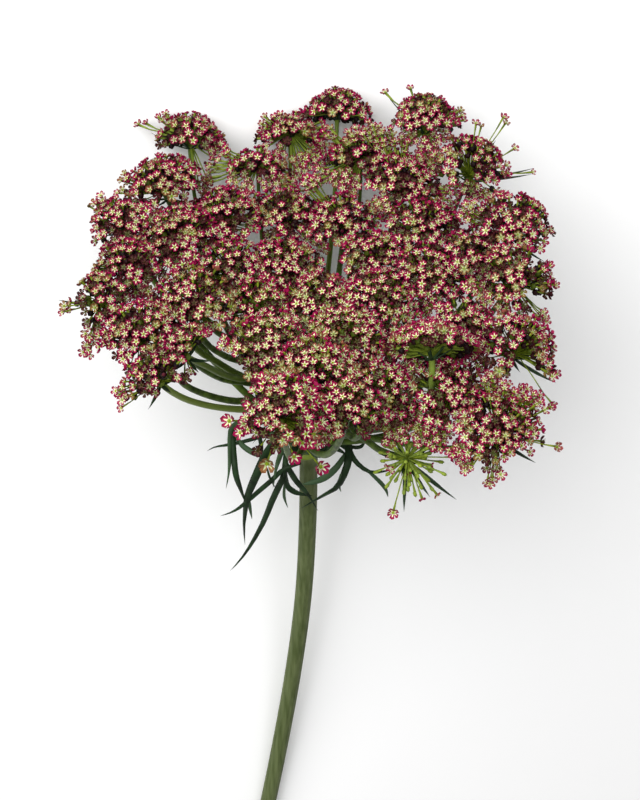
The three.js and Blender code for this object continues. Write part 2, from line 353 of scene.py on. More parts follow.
def petalMaterial():
    material, nodes, links, shader = startMaterial("petal skin", petalLook["roughness"])
    tone = attribute(nodes, "tone")
    petals = ramp(nodes, links, attribute(nodes, "rim"), petalStops("bands"))
    # the tone darkens a floret with the painted shade colours: painted shade below the dome, age on it
    ageAndShade = ramp(nodes, links, tone, petalStops("ageAndShade"))
    dark = ramp(nodes, links, tone, petalStops("ageAndShadeColours"))
    agedAndShaded = blendColours(nodes, links, "MULTIPLY", ageAndShade, petals, dark)
    youth = ramp(nodes, links, tone, petalStops("youth"))
    young = blendColours(nodes, links, "MIX", youth, agedAndShaded, petalLook["olive"])
    mottle = noise(nodes, links, petalLook["spotScale"], skinLook["detail"])
    spots = ramp(nodes, links, mottle, petalStops("spots"))
    mixed = blendColours(nodes, links, "MULTIPLY", 1, young, spots)
    links.new(mixed, shader.inputs["Base Color"])
    return material


# the green skins: their dark, light and pale parts and the scale of their grain
greenLook = {
    "stem": {"dark": colour(68, 79, 42), "light": colour(97, 107, 69), "pale": colour(152, 158, 108),
             "grain": 900, "stretch": (1, 0.06, 1), "roughness": 0.6},
    "ray": {"dark": colour(36, 52, 14), "light": colour(90, 114, 40), "pale": colour(128, 146, 58),
            "grain": 400},
    # the bract's pale colour is painted light, given to every other lobe
    "bract": {"dark": colour(16, 28, 12), "light": colour(38, 60, 34), "pale": colour(74, 98, 68),
              "grain": 260},
    "pedicel": {"dark": colour(58, 72, 8), "light": colour(138, 154, 40), "pale": colour(142, 164, 74),
                "grain": 500},
}


def greenMaterial(name):
    look = greenLook[name]
    roughness = look.get("roughness", skinLook["roughness"])
    material, nodes, links, shader = startMaterial(name + " skin", roughness)
    stretch = look.get("stretch", (1, 1, 1))
    coarse = noise(nodes, links, look["grain"], skinLook["detail"], stretch)
    mottle = ramp(nodes, links, coarse, list(zip(skinLook["mottle"], (look["dark"], look["light"]))))
    mixed = blendColours(nodes, links, "MIX", attribute(nodes, "tone"), mottle, look["pale"])
    links.new(mixed, shader.inputs["Base Color"])
    fine = noise(nodes, links, look["grain"] * skinLook["bumpFiner"], skinLook["bumpDetail"], stretch)
    addBump(nodes, links, shader, fine)
    return material


petalSkin = petalMaterial()
stemSkin = greenMaterial("stem")
raySkin = greenMaterial("ray")
bractSkin = greenMaterial("bract")
pedicelSkin = greenMaterial("pedicel")
print("materials done")

# florets: five cupped petals round a small green eye
floretLook = {
    "radius": 1.2,             # mm, petals spread
    "petals": 5,
    # a petal's rows from base to tip: reach, height, half width and thickness as shares of the radius,
    # and the colour of its back, sides and middle as a share of the way from eye to rim
    "rows": [(0.08, -0.06, 0, 0, (0.04, 0, 0)),
             (0.46, 0.06, 0.27, 0.12, (0.88, 0.72, 0.16)),
             (0.87, 0.24, 0.38, 0.24, (0.82, 0.82, 0.38)),
             (0.98, 0.42, 0, 0, (0.65, 0, 0))],
    "channel": 0.1,            # how far a petal's middle lies lower than its sides
    "closedHeight": 2.1,       # a closed petal stands this many times higher
    "closedReach": 0.72,
    "sway": 0.1,               # radians that a petal lies off its place
    # for each kind of floret: 1 is wide open
    "openings": (1, 0.95, 0.9, 0.75, 1, 0.5),
    "eye": 0.3,
    "eyeSides": 5,
    "stamen": 0.85,            # its length, and the radius at both ends
    "stamenEnds": (0.05, 0.03),
    "stamenSides": 3,
    "stamenLean": (0.7, 1.1),  # radians
    "stamenShade": 0.25,
    "bud": 0.5,                # mm
    "seed": 500,
}


def addPetal(bm, draw, opening):
    # a ball with four sides, drawn out into a petal: its poles are the base and the tip
    rim = layerOf(bm, "rim")
    steps = len(floretLook["rows"]) - 1
    made = addBall(bm, 4, steps)
    size = draw.uniform(*uneven)
    for vertex in made:
        row = round(acos(max(-1, min(1, -vertex.co.z))) / (pi / steps))
        reach, height, half, thick, (back, side, middle) = floretLook["rows"][row]
        sideways, upper = vertex.co.x, vertex.co.y
        height = lerp(height * floretLook["closedHeight"], height, opening)
        reach = lerp(reach * floretLook["closedReach"], reach, opening)
        across = 0
        vertex[rim] = back
        if half and abs(sideways) > 0.5:
            across = copysign(half, sideways)
            vertex[rim] = side
        elif half and upper > 0:
            height -= floretLook["channel"]
            vertex[rim] = middle
        elif half:
            height -= floretLook["channel"] + thick
        vertex.co = Vector((reach * size, across, height))
    return made


def addStamen(bm, draw, turn):
    rim = layerOf(bm, "rim")
    length = floretLook["stamen"]
    made = addCone(bm, floretLook["stamenSides"], *floretLook["stamenEnds"], length)
    lean = Matrix.Rotation(draw.uniform(*floretLook["stamenLean"]), 4, "Y")
    place = Matrix.Rotation(turn, 4, "Z") @ lean @ Matrix.Translation((0, 0, length / 2))
    bmesh.ops.transform(bm, matrix=place, verts=made)
    for vertex in made:
        vertex[rim] = floretLook["stamenShade"]


def floretMesh(kind):
    draw = random.Random(floretLook["seed"] + kind)
    bm = newPiece("rim")
    rim = layerOf(bm, "rim")
    petals, sway, eye = floretLook["petals"], floretLook["sway"], floretLook["eye"]
    for i in range(petals):
        made = addPetal(bm, draw, floretLook["openings"][kind])
        turn = 2 * pi * i / petals + draw.uniform(-sway, sway)
        bmesh.ops.rotate(bm, verts=made, cent=(0, 0, 0), matrix=Matrix.Rotation(turn, 3, "Z"))
        if kind % 2 == 0:    # every other kind has stamens
            addStamen(bm, draw, turn + pi / petals)
    for vertex in addCone(bm, floretLook["eyeSides"], eye, eye / 2, eye):
        vertex[rim] = 0
    bmesh.ops.recalc_face_normals(bm, faces=bm.faces)
    bmesh.ops.scale(bm, verts=bm.verts, vec=(mm, mm, mm))
    return meshFrom(bm, "floret")


def budMesh():
    bm = newPiece("rim")
    rim = layerOf(bm, "rim")
    bmesh.ops.create_icosphere(bm, subdivisions=1, radius=floretLook["bud"] * mm)
    for vertex in bm.verts:
        vertex[rim] = 1
    return meshFrom(bm, "bud")


floretKinds = [floretMesh(kind) for kind in range(len(floretLook["openings"]))]
budKind = budMesh()

# umbellets: each CAD umbellet gives the place, the axis and the reach of its dome
umbelletLook = {
    "count": 43,
    "spacing": 2,           # mm, the reach of a dome with as many florets as crowd
    "crowd": 4.4,
    "bare": 0,              # share of florets left out
    "spread": 1,            # the dome's reach against the CAD umbellet's
    "inner": 22,            # the first umbellet inside the head
    "innerSpread": 1.14,
    "edge": 0.3,            # mm that the outer florets stay within the reach
    "scatter": 0.35,        # mm that a floret lies off its place
    "depth": 2.2,           # mm that a floret may lie below the dome
    "sinking": 1.5,         # more leaves fewer florets deep
    "rimDrop": 0.48,        # share of the dome's height that its rim lies lower
    "rimTilt": 58,          # degrees that the outer florets face outwards
    "sway": 0.3,            # radians that a floret turns out of line
    "apexDrop": 0.3,        # mm below the top of the CAD umbellet
    "hubRise": 1.2,         # mm above its foot
    "small": 0.88,          # size of the florets in the middle
    "large": 1.16,          # and at the rim
    "pedicels": 1,          # width of the pedicels
    "buds": 0.06,           # share of closed buds among florets smaller than budUnder
    "budUnder": 1,
    "halfClosed": 1.5,      # florets larger than this are half closed
    "clusterSpacing": 3.2,  # pixels between florets that fill the head
    "clusterSizes": (0.85, 1.1),
    "nearer": (2, 4.5),     # mm that placed florets lie nearer than their hub
    "facing": 0.5,          # how far they face the camera
    "seed": 21000,
}
# what differs in some umbellets
differing = {
    2: {"bare": 0.3}, 7: {"rimDrop": 0.35}, 10: {"bare": 0.1}, 13: {"large": 1.4}, 15: {"bare": 1},
    18: {"spread": 1.08}, 21: {"bare": 0.1}, 33: {"crowd": 8},
}
# umbellets seen from the side: the hub's place in the picture and mm nearer than the neck, and its
# lean towards the camera, then the dome and the pedicels, lengths in mm
sideColumns = ("hub", "lean", "height", "radius", "rimDrop", "rimTilt", "pedicels")
sideViews = {
    3: ((424, 138, 25), 0.35, 12, 9.4, 0.6, 80, 1.3),
    4: ((337, 123, 21), 0.12, 9.6, 9.3, 0.75, 85, 1.3),
    5: ((290, 141, 23), 0.15, 7.6, 8.8, 0.8, 85, 1.3),
    6: ((190, 152, 26), 0.25, 10.2, 9, 0.65, 80, 1.3),
    25: ((361, 168, 28), 0.2, 9, 9.5, 0.7, 85, 1.3),
    26: ((258, 174, 29), 0.2, 7.2, 8, 0.7, 85, 1.3),
    33: ((432, 363, 74), -0.2, 10, 11, 0.6, 85, 1.25),
}
# florets that stand out of an umbellet: place in the picture and size
strayFlorets = {
    2: [(476, 123, 1), (481, 126, 0.8), (504, 117, 1.1), (506, 123, 0.9), (515, 148, 1), (507, 165, 1),
        (504, 176, 0.9), (497, 160, 1), (533, 172, 0.7)],
    3: [(410, 88, 1), (385, 92, 1)], 6: [(138, 124, 1.1), (146, 123, 0.9)],
    10: [(64, 306, 1.1), (70, 310, 0.9), (62, 312, 0.9)], 12: [(122, 400, 1.1), (121, 408, 0.9)],
    13: [(267, 464, 1.8), (294, 457, 1.6), (321, 467, 1.7), (229, 421, 1.7), (246, 428, 1.8)],
    15: [(393, 513, 1.3), (457, 446, 1.9), (454, 457, 1.6)],
    18: [(557, 447, 1.2), (530, 452, 1), (490, 484, 1), (540, 402, 1)], 19: [(553, 405, 0.9)],
    21: [(550, 265, 1), (556, 285, 0.9)], 30: [(190, 371, 0.9), (184, 376, 0.9), (195, 374, 0.9)],
    33: [(412, 336, 1.7), (437, 335, 1.6), (460, 338, 1.7)],
}
# clusters of florets beside an umbellet: place in the picture and reach in pixels
clusters = {
    1: [(470, 212, 12)], 2: [(471, 191, 10), (484, 196, 8)],
    3: [(428, 148, 10), (438, 158, 7), (460, 115, 7), (408, 138, 10), (440, 135, 10), (400, 120, 6),
        (428, 152, 9)],
    5: [(264, 121, 6), (277, 114, 5), (299, 160, 8), (298, 175, 8), (312, 139, 6), (323, 136, 5),
        (312, 160, 10), (320, 148, 9), (321, 126, 6), (280, 150, 6), (264, 146, 5), (268, 135, 6),
        (312, 132, 6)],
    6: [(165, 118, 7), (214, 148, 9), (203, 186, 8), (218, 140, 7)], 7: [(124, 178, 6), (120, 190, 5)],
    8: [(100, 200, 6), (92, 203, 5)], 9: [(145, 287, 7), (131, 290, 8), (120, 297, 8), (141, 299, 7)],
    10: [(92, 335, 9), (86, 350, 6)], 12: [(122, 392, 7)], 13: [(313, 440, 6)],
    14: [(325, 440, 8), (336, 428, 6)],
    16: [(402, 402, 9), (388, 439, 6), (400, 435, 6), (392, 430, 7), (404, 420, 8), (386, 424, 8),
         (372, 420, 7)],
    17: [(414, 366, 8), (411, 378, 6), (448, 366, 7), (412, 410, 10), (425, 426, 9), (441, 431, 11),
         (420, 436, 9), (436, 444, 8), (402, 424, 9)],
    18: [(491, 381, 9), (502, 388, 8), (521, 393, 8), (533, 399, 8), (456, 452, 8), (467, 463, 9),
         (490, 480, 5), (548, 407, 5)],
    19: [(555, 374, 4)], 20: [(475, 355, 8), (484, 367, 8)],
    21: [(471, 287, 7), (486, 297, 9), (505, 308, 7), (543, 317, 7)], 22: [(425, 308, 9)],
    23: [(385, 205, 7)],
    24: [(372, 130, 10), (386, 138, 11), (401, 146, 8), (453, 190, 8), (376, 205, 8), (385, 215, 7),
         (436, 166, 9), (440, 193, 9), (449, 206, 8), (453, 222, 6), (418, 160, 7)],
    25: [(355, 133, 8), (322, 176, 10), (345, 180, 12), (352, 190, 8), (372, 175, 9), (330, 133, 7)],
    26: [(212, 164, 8), (208, 177, 6), (266, 180, 9), (279, 181, 8), (247, 183, 6), (292, 186, 7),
         (225, 152, 6), (233, 178, 6)],
    28: [(160, 272, 7)], 31: [(224, 343, 6)], 33: [(400, 352, 8)], 35: [(311, 185, 9)],
    36: [(310, 237, 8), (322, 245, 6)],
}
# places in the picture where the head is open, with their reach in pixels
clearings = [
    (222, 117, 7), (390, 113, 9), (506, 152, 6), (508, 166, 7), (148, 196, 6), (364, 197, 8),
    (499, 186, 5), (512, 180, 7), (514, 194, 6), (163, 203, 6), (240, 228, 5), (255, 236, 5),
    (554, 222, 6), (216, 252, 5), (535, 258, 7), (552, 243, 7), (219, 275, 6), (333, 262, 7),
    (73, 288, 7), (532, 288, 9), (76, 312, 8), (457, 306, 6), (537, 305, 8), (106, 356, 10),
    (138, 353, 6), (193, 356, 8), (200, 345, 10), (212, 340, 6), (213, 357, 10), (215, 355, 8),
    (523, 345, 7), (524, 358, 9), (120, 366, 6), (179, 372, 5), (187, 362, 5), (195, 372, 9),
    (205, 368, 11), (230, 363, 8), (230, 366, 10), (518, 374, 9), (533, 368, 10), (541, 378, 8),
    (163, 384, 4), (165, 391, 5), (172, 387, 7), (175, 392, 7), (181, 385, 6), (190, 388, 8),
    (205, 395, 7), (225, 388, 14), (238, 396, 8), (240, 385, 11), (248, 394, 6), (430, 384, 8),
    (512, 387, 7), (528, 388, 8), (140, 404, 6), (150, 406, 9), (166, 404, 8), (226, 408, 8),
    (240, 410, 9), (487, 409, 7), (235, 430, 5), (251, 438, 6), (290, 421, 7), (351, 430, 9),
    (247, 450, 8), (258, 442, 8), (262, 457, 6), (270, 450, 6), (285, 453, 7), (296, 450, 5),
    (305, 454, 7), (368, 443, 6), (533, 455, 13), (470, 472, 6), (505, 468, 6), (511, 471, 7),
    (520, 466, 10), (478, 486, 7), (488, 492, 6), (500, 483, 8),
]


def readUmbellet(number):
    name = "umbellet_%02d" % number
    fromSide = dict(zip(sideColumns, sideViews.get(number, ())))
    look = {**umbelletLook, **differing.get(number, {}), **fromSide}
    if fromSide:
        x, y, nearer = look["hub"]
        foot = pointInView(x, y, neck, nearer)
        axis = (viewUp + toCamera * look["lean"]).normalized()
        height, radius = look["height"] * mm, look["radius"] * mm
    else:
        corners = [vertex.co.copy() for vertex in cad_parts[name].data.vertices]
        middle = sum(corners, Vector()) / len(corners)
        foot = min(corners, key=lambda corner: corner.dot(middle - neck))
        axis = (middle - foot).normalized()
        arms = [corner - foot for corner in corners]
        spread = look["innerSpread" if number >= look["inner"] else "spread"]
        height = max(arm.dot(axis) for arm in arms)
        radius = max((arm - axis * arm.dot(axis)).length for arm in arms) * spread
    return {
        "number": number, "name": name, "look": look, "foot": foot, "axis": axis, "height": height,
        "radius": radius, "hub": foot + axis * look["hubRise"] * mm,
        "turn": axis.to_track_quat("Z", "Y").to_matrix(), "draw": random.Random(look["seed"] + number),
    }


def cleared(place):
    x, y = placeInView(place)
    return any(hypot(x - gapX, y - gapY) < reach for gapX, gapY, reach in clearings)


def domeFlorets(umbellet):
    # each floret's place, facing, size and depth below the dome
    draw, look = umbellet["draw"], umbellet["look"]
    apex = umbellet["height"] - look["apexDrop"] * mm
    reach = umbellet["radius"] - look["edge"] * mm
    count = round(look["crowd"] * (reach / (look["spacing"] * mm)) ** 2)
    rimTilt, scatter, sway = radians(look["rimTilt"]), look["scatter"], look["sway"]
    firstTurn = draw.uniform(0, 2 * pi)
    made = []
    for i in range(count):
        share = sqrt((i + 0.5) / count)
        turn = firstTurn + i * goldenTurn
        out = reach * share + draw.uniform(-scatter, scatter) * mm
        sunk = draw.random() ** look["sinking"]
        rise = apex * (1 - look["rimDrop"] * share ** 2) - look["depth"] * sunk * mm
        local = Vector((out * cos(turn), out * sin(turn), rise))
        facing = leaning(turn, rimTilt * share + draw.uniform(-sway, sway))
        size = lerp(look["small"], look["large"], share ** 2) * draw.uniform(*uneven)
        place = umbellet["foot"] + umbellet["turn"] @ local
        if draw.random() >= look["bare"] and not cleared(place):
            made.append((place, umbellet["turn"] @ facing, size, sunk))
    return made


def fillingFlorets(umbellet):
    # the florets placed in the picture, alone and in clusters; none lies below the dome
    draw, look, hub, number = umbellet["draw"], umbellet["look"], umbellet["hub"], umbellet["number"]
    strays = list(strayFlorets.get(number, []))
    for x, y, reach in clusters.get(number, []):
        count = max(1, round((reach / look["clusterSpacing"]) ** 2))
        for i in range(count):
            out = reach * sqrt((i + 0.5) / count)
            turn = i * goldenTurn
            size = draw.uniform(*look["clusterSizes"])
            strays.append((x + out * cos(turn), y + out * sin(turn), size))
    made = []
    for x, y, size in strays:
        place = pointInView(x, y, hub, draw.uniform(*look["nearer"]))
        facing = (place - hub).normalized() + (toCamera + umbellet["axis"]) * look["facing"]
        made.append((place, facing.normalized(), size, 0))
    return made


# the tone of a floret: its age on the dome, and its painted shade below it
ageAndShadeLook = {
    "top": (0.08, 0.66),  # florets on the dome
    "sunk": (0.7, 1),     # florets below it, darkened as painted shade
    # the depth share from which a floret gets painted shade
    "shadedFrom": 0.49,
    "freshForward": 24,   # mm in front of the head's axis to the youngest florets
    "freshReach": 38,     # mm from there to where all are older
    "freshEdge": 24,      # mm over which that changes
    "freshTop": 0.04,     # how much younger a fresh floret on the dome is
    # how much lighter the painted shade of a fresh floret below the dome is
    "freshSunk": 0.1,
    "freshCream": 0.14,   # and how much more cream its petals have
}


def freshness(place):
    # florets in the front and middle of the head are younger, with more cream and green and less painted
    # shade below the dome
    local = headTurn.transposed() @ (place - neck) / mm
    away = hypot(local.x, local.y + ageAndShadeLook["freshForward"])
    return max(0, min(1, (ageAndShadeLook["freshReach"] - away) / ageAndShadeLook["freshEdge"]))


# buds and ovaries below the dome; their dark wine and their darkening tones are painted shade between the
# florets
shadedBudLook = {
    "depth": (1.5, 2.5),    # mm
    "size": 1.7,
    "shades": (0, 0.9, 1),  # green, or dark wine as painted shade
    "freshGreen": 0.6,      # green share where the florets are fresh
    "darkest": 0.35,            # share of the green ones with the darkest painted shade
    # how dark their painted shade is, by the attribute tone
    "tones": (0.8, 1),
}


def addShadedBud(bm, umbellet, place, facing):
    draw = umbellet["draw"]
    rim, tone = layerOf(bm, "rim"), layerOf(bm, "tone")
    deep = place - facing * draw.uniform(*shadedBudLook["depth"]) * mm
    green = draw.random() <= shadedBudLook["freshGreen"] * freshness(place)
    shade = 0 if green else draw.choice(shadedBudLook["shades"])
    # the tone darkens every bud with painted shade
    young, darkest = shadedBudLook["tones"]
    ageAndShade = darkest if shade or draw.random() < shadedBudLook["darkest"] else young
    for vertex in addCopy(bm, budKind):
        vertex.co = deep + vertex.co * shadedBudLook["size"] * draw.uniform(*uneven)
        vertex[rim] = shade
        vertex[tone] = ageAndShade


def addFloret(bm, draw, place, facing, size, sunk=0, bud=False):
    rim, tone = layerOf(bm, "rim"), layerOf(bm, "tone")
    kind = floretKinds[-1] if size > umbelletLook["halfClosed"] else draw.choice(floretKinds)
    made = addCopy(bm, budKind if bud else kind)
    scale = size if bud else size * floretLook["radius"]
    spin = Matrix.Rotation(draw.uniform(0, 2 * pi), 4, "Z")
    matrix = Matrix.Translation(place) @ facing.to_track_quat("Z", "Y").to_matrix().to_4x4() @ spin
    fresh = freshness(place)
    # on the dome the tone is a random age; below it the tone is painted shade
    if sunk < ageAndShadeLook["shadedFrom"]:
        ageAndShade = lerp(*ageAndShadeLook["top"], draw.random()) - ageAndShadeLook["freshTop"] * fresh
    else:
        young, darkest = ageAndShadeLook["sunk"]
        ageAndShade = lerp(young, darkest - ageAndShadeLook["freshSunk"] * fresh, draw.random())
    for vertex in made:
        vertex.co = matrix @ (vertex.co * scale)
        vertex[rim] *= 1 - ageAndShadeLook["freshCream"] * fresh
        vertex[tone] = ageAndShade


# pedicels from the hub to each floret
pedicelLook = {
    "sides": 3,
    "steps": 4,
    "radius": 0.17,  # mm
    "root": 0.28,
    "rootEnd": 0.1,  # share of the way
    "ovary": 0.36,
    "ovaryStart": 0.9,
    "leave": 0.3,    # shares of its length along the axis, and along the floret's
    "arrive": 0.25,
    "seat": 0.1,     # mm below the floret
    "inLine": 0.05,  # below this a floret faces along the axis
}
pedicelTube = straightTube(pedicelLook["sides"], pedicelLook["steps"])


def pedicelRadius(width):
    def radius(share):
        if share < pedicelLook["rootEnd"]:
            return pedicelLook["root"] * mm * width
        return pedicelLook["ovary" if share > pedicelLook["ovaryStart"] else "radius"] * mm * width
    return radius


def addPedicel(bm, umbellet, place, facing, tone=0, width=1):
    end = place - facing * pedicelLook["seat"] * mm
    hub, axis = umbellet["hub"], umbellet["axis"]
    length = (end - hub).length
    leave = hub + axis * length * pedicelLook["leave"]
    arrive = end - facing * length * pedicelLook["arrive"]
    route = bezier([hub, leave, arrive, end])
    side = facing.cross(axis)
    if side.length < pedicelLook["inLine"]:
        side = facing.orthogonal()
    layTube(bm, pedicelTube, route, pedicelRadius(width), side.normalized(), tone=tone)


# the umbellet in front at the right is still in bud
buddingLook = {
    "umbellet": 15,
    "count": 44,
    "reach": 7,         # mm
    "reachShares": (0.5, 1.1),
    "fan": 88,          # degrees from the axis to the outer pedicels
    "sway": 0.3,
    "tones": (0, 0.8),  # how pale a pedicel is
    "width": 1.15,      # against the pedicels of the others
    "florets": 0.15,    # share that is open, and their size
    "floretSizes": (0.6, 0.9),
    "budLength": 1.6,
    "budTone": 0.5,
    "nearer": (0, 3),   # mm that outer buds lie nearer than the hub
    # the outer buds' places in the picture
    "buds": [(432, 469), (428, 480), (437, 495), (421, 487), (422, 499), (411, 479), (408, 489),
             (396, 480), (387, 486), (388, 474), (376, 472), (383, 461), (394, 465), (399, 470),
             (444, 474), (404, 492), (415, 494), (432, 489), (381, 453), (441, 462), (385, 446),
             (418, 472)],
}


def addGreenBud(bm, draw, place, facing):
    tone = layerOf(bm, "tone")
    bend = facing.to_track_quat("Z", "Y").to_matrix()
    for vertex in addCopy(bm, budKind):
        drawn = Vector((vertex.co.x, vertex.co.y, vertex.co.z * buddingLook["budLength"]))
        vertex.co = place + bend @ drawn
        vertex[tone] = buddingLook["budTone"] * draw.random()


def addBudding(florets, pedicels, umbellet):
    look, draw, hub = buddingLook, umbellet["draw"], umbellet["hub"]
    places = [pointInView(x, y, hub, draw.uniform(*look["nearer"])) for x, y in look["buds"]]
    for i in range(look["count"]):
        share = sqrt((i + 0.5) / look["count"])
        turn = i * goldenTurn + draw.uniform(-look["sway"], look["sway"])
        facing = leaning(turn, radians(look["fan"]) * share)
        reach = look["reach"] * draw.uniform(*look["reachShares"]) * mm
        places.append(hub + umbellet["turn"] @ facing * reach)
    for place in places:
        facing = (place - hub).normalized()
        addPedicel(pedicels, umbellet, place, facing, draw.uniform(*look["tones"]), look["width"])
        if draw.random() < look["florets"]:
            addFloret(florets, draw, place, facing, draw.uniform(*look["floretSizes"]))
        else:
            addGreenBud(pedicels, draw, place, facing)


# how a bract or a bracteole narrows to its point, as shares of its width
taperLook = {
    "root": 0.7,
    "swell": 0.5,
    "swellHaste": 1.2,  # more ends the swell sooner
    "point": 0.03,
    "power": 3.2,       # more narrows later
}


def pointed(width, power=taperLook["power"]):
    def radius(share):
        swell = taperLook["swell"] * sin(pi * min(1, share * taperLook["swellHaste"]))
        return width * mm * (taperLook["root"] + swell) * max(taperLook["point"], 1 - share ** power)
    return radius


# narrow bracteoles below each umbellet
bracteoleLook = {
    "count": 7,
    "sides": 4,
    "steps": 5,
    "reach": 8,         # mm
    "reachShares": (0.7, 1.1),
    "domeShare": 0.95,  # the longest, as a share of the dome's radius
    "lean": 62,         # degrees from the umbellet's axis
    "leanSway": 12,
    "sway": 0.3,
    "width": 0.42,
    "flat": 0.4,
    "below": 0.6,       # mm below the hub
    "bend": 0.8,        # mm
    "strayBend": 1,     # the same of the long ones
    "strayPower": 8,    # more narrows them later
    "nearer": 1,        # mm that their tips lie nearer than the hub
    "seed": 8000,
}
bracteoleTube = straightTube(bracteoleLook["sides"], bracteoleLook["steps"])
# the long ones' tips in the picture
strayBracteoles = {
    1: [(545, 262)], 2: [(535, 168), (533, 174), (496, 140)], 3: [(383, 90)], 6: [(150, 132)],
    10: [(58, 300)], 15: [(457, 500), (404, 512), (430, 497), (441, 486)], 18: [(536, 463)],
    19: [(556, 383), (548, 350)],
}


def addBracteole(bm, umbellet, end, bend, power=taperLook["power"]):
    axis = umbellet["axis"]
    hub = umbellet["hub"] - axis * bracteoleLook["below"] * mm
    knee = hub.lerp(end, 0.5) - axis * (bend * mm)
    side = (end - hub).cross(axis).normalized()
    taper = pointed(bracteoleLook["width"], power)
    layTube(bm, bracteoleTube, bezier([hub, knee, end]), taper, side, bracteoleLook["flat"])


def addBracteoles(bm, umbellet):
    look, hub = bracteoleLook, umbellet["hub"]
    draw = random.Random(look["seed"] + umbellet["number"])
    for i in range(look["count"]):
        turn = 2 * pi * (i + draw.uniform(-look["sway"], look["sway"])) / look["count"]
        lean = radians(look["lean"] + draw.uniform(-look["leanSway"], look["leanSway"]))
        longest = umbellet["radius"] * look["domeShare"]
        reach = min(look["reach"] * draw.uniform(*look["reachShares"]) * mm, longest)
        addBracteole(bm, umbellet, hub + umbellet["turn"] @ leaning(turn, lean) * reach, look["bend"])
    for x, y in strayBracteoles.get(umbellet["number"], []):
        tip = pointInView(x, y, hub, look["nearer"])
        addBracteole(bm, umbellet, tip, look["strayBend"], look["strayPower"])


umbellets = [readUmbellet(number) for number in range(1, umbelletLook["count"] + 1)]
pedicels = newPiece("tone")
bracteoles = newPiece("tone")
floretCount = 0
for umbellet in umbellets:
    draw, number, width = umbellet["draw"], umbellet["number"], umbellet["look"]["pedicels"]
    florets = newPiece("rim", "tone")
    for place, facing, size, sunk in domeFlorets(umbellet) + fillingFlorets(umbellet):
        bud = size < umbelletLook["budUnder"] and draw.random() < umbelletLook["buds"]
        addFloret(florets, draw, place, facing, size, sunk, bud)
        # each floret of the dome has a bud below it, darkened as painted shade
        if sunk > 0:
            addShadedBud(florets, umbellet, place, facing)
        addPedicel(pedicels, umbellet, place, facing, width - 1, width)
        floretCount += 1
    if number == buddingLook["umbellet"]:
        addBudding(florets, pedicels, umbellet)
    finishPiece(florets, "florets_%02d" % number, petalSkin, [umbellet["name"]], False)
    addBracteoles(bracteoles, umbellet)
finishPiece(pedicels, "pedicels", pedicelSkin)
finishPiece(bracteoles, "bracteoles", bractSkin)
print("florets done:", floretCount)

# rays from the receptacle to the hubs
rayLook = {
    "sides": 8,
    "steps": 20,
    "root": 1,         # mm, radius
    "tip": 0.72,
    "hub": 1.15,
    "hubStart": 0.97,  # share of the way
    "hubLift": 0.9,    # mm that a ray ends above the hub
    "spread": 1.6,     # times that a ray starts flatter than its tip lies
    "spreads": {12: 0.7, 15: 1.2, 17: 1, 18: 0.8, 30: 0.7},
    "pull": 0.36,
    "rootDepth": 1.8,
    "tone": 0.05,      # how pale a ray is
    "tones": {4: 0.45, 5: 0.45, 9: 0.4, 12: 0.7, 30: 0.4, 33: 0.5},
    "thin": (2, 3, 4, 5, 6, 24, 25, 26),
    "thinWidth": 0.6,
}
# rays that show: mm that they bulge to the camera, and the places in the picture that they pass
rayWays = {
    9: (0, [(262, 388), (250, 380), (233, 372), (217, 362), (200, 352), (188, 339), (160, 308)]),
    10: (0, [(265, 390), (250, 383), (227, 380), (210, 373), (193, 362), (178, 352), (140, 330)]),
    11: (2, [(270, 405), (250, 401), (233, 401), (210, 396), (188, 387), (176, 376), (160, 362)]),
    12: (3, [(275, 413), (253, 410), (233, 409), (210, 406), (188, 400), (172, 392)]),
    15: (14, [(335, 424), (352, 431), (366, 440), (378, 449), (390, 454)]),
    16: (22, [(332, 414), (343, 422), (347, 432), (354, 438), (360, 433), (359, 422), (366, 408)]),
    28: (0, [(250, 357), (237, 344), (225, 337), (212, 327), (195, 300)]),
    29: (0, [(262, 368), (250, 363), (237, 360), (225, 356), (208, 345), (199, 330)]),
    30: (0, [(262, 380), (240, 379), (222, 374), (206, 366)]),
    33: (20, [(360, 430), (412, 416), (429, 396), (432, 378)]),
    37: (0, [(245, 352), (232, 335), (224, 322), (222, 300)]),
}
rayTube = straightTube(rayLook["sides"], rayLook["steps"])


def rayRadius(width):
    def radius(share):
        if share > rayLook["hubStart"]:
            return rayLook["hub"] * width * mm
        return lerp(rayLook["root"], rayLook["tip"] * width, share) * mm
    return radius


def addRay(bm, umbellet):
    number, axis = umbellet["number"], umbellet["axis"]
    end = umbellet["hub"] + axis * rayLook["hubLift"] * mm
    local = headFrame.inverted() @ end
    clock = degrees(atan2(local.y, local.x))
    angle = degrees(atan2(hypot(local.x, local.y), local.z))
    start = outward(clock, angle * rayLook["spreads"].get(number, rayLook["spread"]))
    root = neck + start * rayLook["rootDepth"] * mm
    pull = (end - root).length * rayLook["pull"]
    route = bezier([root, root + start * pull, end - axis * pull, end])
    if number in rayWays:
        bulge, ways = rayWays[number]
        places = [root]
        for i, (x, y) in enumerate(ways):
            share = (i + 1) / (len(ways) + 1)
            places.append(pointInView(x, y, root.lerp(end, share), bulge * sin(pi * share)))
        route = smoothRoute(places + [end])
    tone = rayLook["tones"].get(number, rayLook["tone"])
    width = rayLook["thinWidth"] if number in rayLook["thin"] else 1
    layTube(bm, rayTube, route, rayRadius(width), outward(clock + 90, 90), tone=tone)


rays = newPiece("tone")
for umbellet in umbellets:
    addRay(rays, umbellet)
finishPiece(rays, "rays", raySkin, ["stem_with_rays"])
print("rays done")

